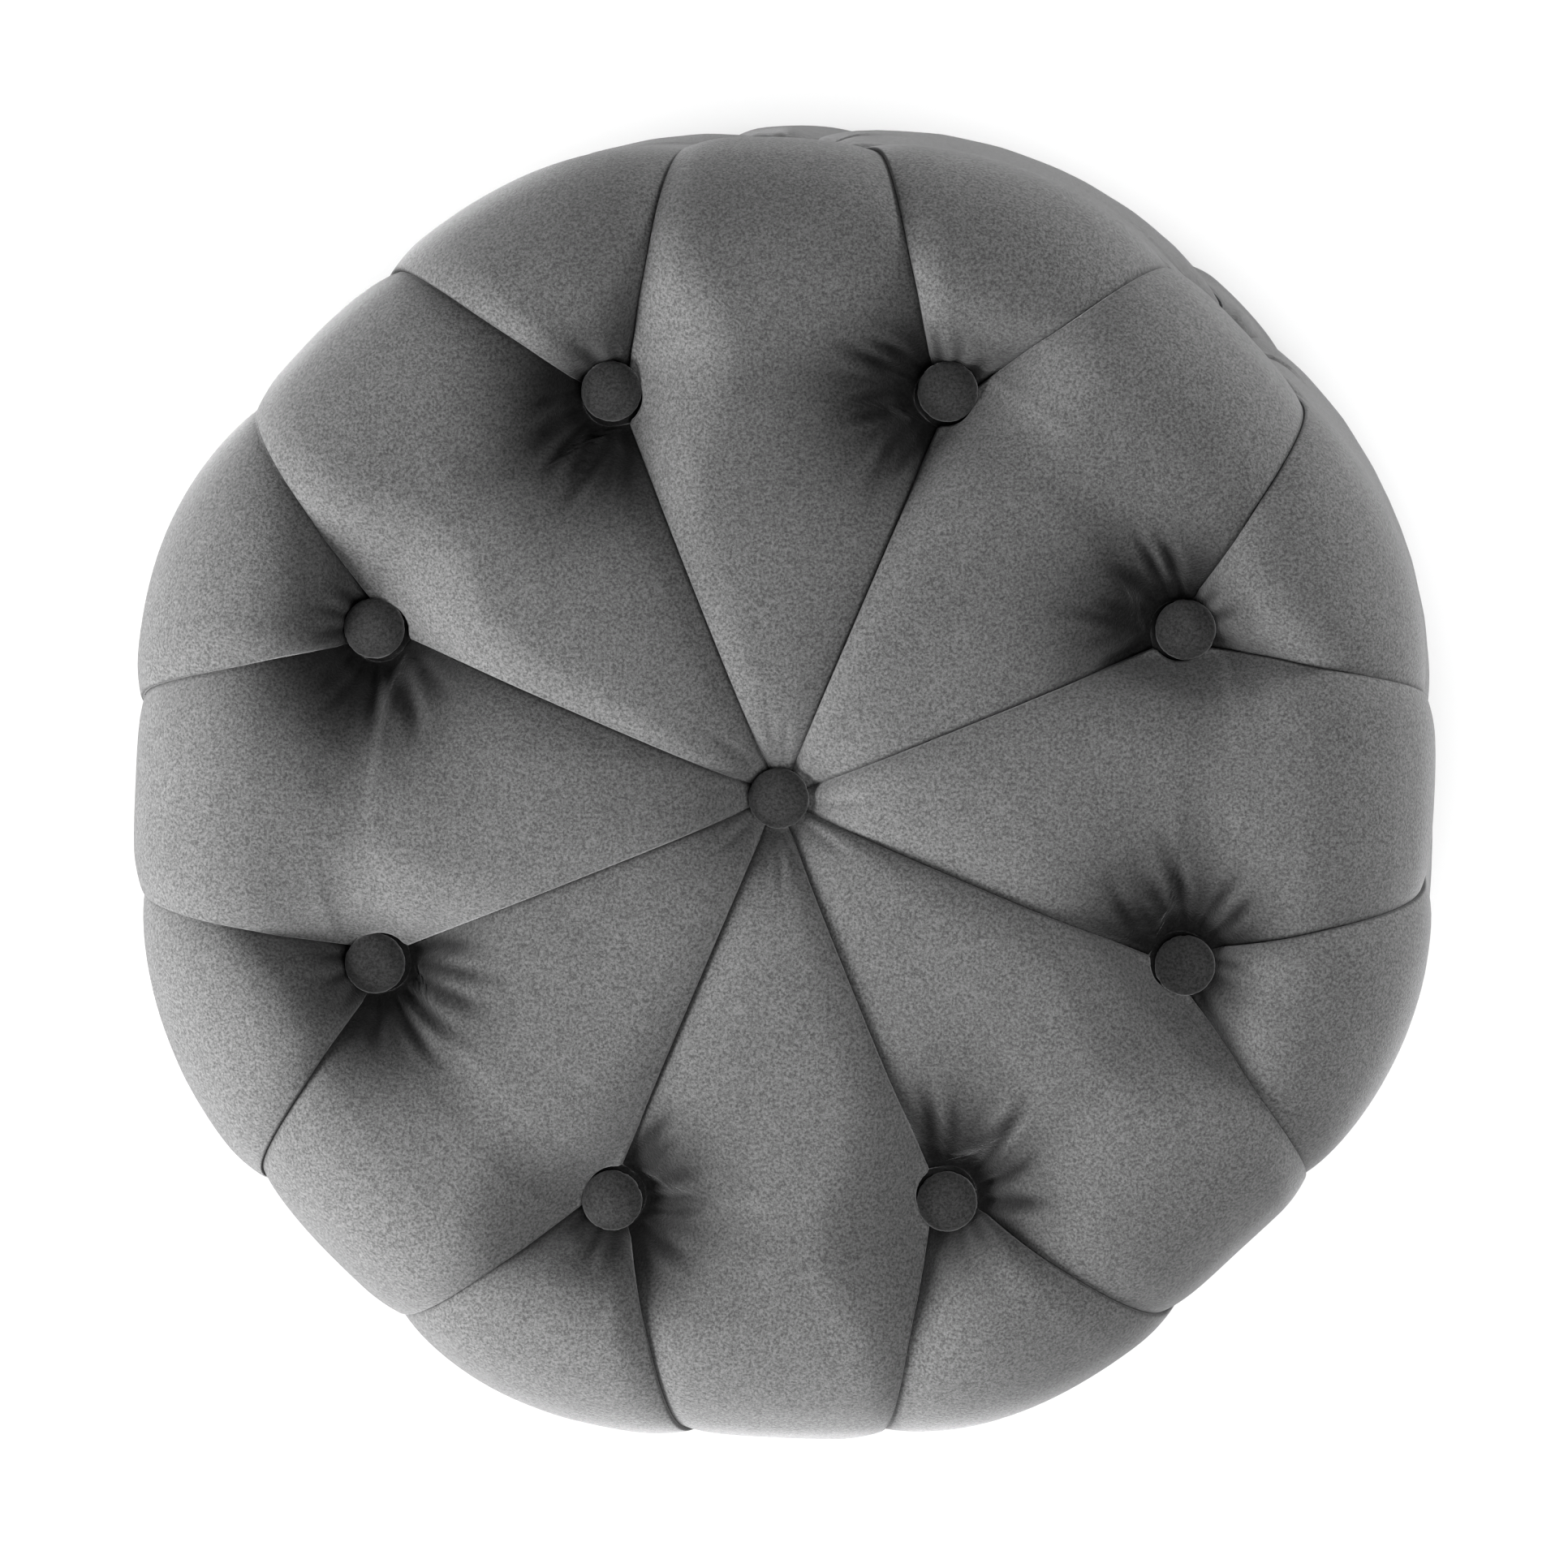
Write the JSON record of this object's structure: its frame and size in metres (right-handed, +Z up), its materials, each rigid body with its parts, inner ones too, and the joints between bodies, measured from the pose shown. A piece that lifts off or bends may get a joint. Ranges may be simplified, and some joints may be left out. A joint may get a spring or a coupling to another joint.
{
  "type": "ottoman with storage",
  "caption": "Round button-tufted velvet ottoman: a padded drum with a lined storage well and a deep tufted lid that lifts off.",
  "frame": {"origin": "on the floor, at the middle of the ottoman", "axes": "+Z up along the drum's axis, +Y to the back, +X to the right; the drum's side buttons are at 0, 45, 90 degrees and so on about +Z from +X"},
  "size_m": [0.56, 0.56, 0.4295],
  "materials": {
    "velvet": "short-pile velvet, mid grey",
    "button_velvet": "short-pile velvet, mid grey, stretched over a dome",
    "lining_cloth": "black non-woven lining",
    "dust_cloth": "black spun-bonded cloth",
    "foam": "open-cell polyurethane foam",
    "batting": "polyester fibre batting",
    "plywood": "raw plywood",
    "pine": "planed pine",
    "hardboard": "smooth hardboard",
    "foot_plastic": "moulded, satin",
    "screw_steel": "zinc plated",
    "button_metal": "tinned steel",
    "twine": "waxed nylon twine",
    "washer_plastic": "moulded, natural"
  },
  "bodies": {
    "drum": {"base_board": "plywood", "dust_cover": "dust_cloth", "dust_cover_staples": "screw_steel", "foot_1": "foot_plastic", "foot_2": "foot_plastic", "foot_3": "foot_plastic", "foot_4": "foot_plastic", "foot_screws": "screw_steel", "side_batting": "batting", "side_button_1": "button_velvet", "side_button_2": "button_velvet", "side_button_3": "button_velvet", "side_button_4": "button_velvet", "side_button_5": "button_velvet", "side_button_6": "button_velvet", "side_button_7": "button_velvet", "side_button_8": "button_velvet", "side_button_backs": "button_metal", "side_button_twines": "twine", "side_cover": "velvet", "side_foam": "foam", "side_twine_washers": "washer_plastic", "top_hoop": "plywood", "upright_1": "pine", "upright_2": "pine", "upright_3": "pine", "upright_4": "pine", "upright_5": "pine", "upright_6": "pine", "upright_7": "pine", "upright_8": "pine", "upright_screws": "screw_steel", "wall_panel": "hardboard", "well_floor": "lining_cloth", "well_wall_lining": "lining_cloth"},
    "lid": {"centre_button": "button_velvet", "lid_batting": "batting", "lid_board": "plywood", "lid_cover": "velvet", "lid_firm_foam": "foam", "lid_lining": "lining_cloth", "lid_soft_foam": "foam", "locating_ring": "plywood", "locating_ring_screws": "screw_steel", "ring_button_1": "button_velvet", "ring_button_2": "button_velvet", "ring_button_3": "button_velvet", "ring_button_4": "button_velvet", "ring_button_5": "button_velvet", "ring_button_6": "button_velvet", "ring_button_7": "button_velvet", "ring_button_8": "button_velvet", "top_button_backs": "button_metal", "top_button_twines": "twine", "top_twine_washers": "washer_plastic"}
  },
  "joints": [
    {"name": "lid_lift", "type": "slide", "parent": "drum", "child": "lid", "axis": [0, 0, 1], "range_m": [0, 0.3]}
  ]
}
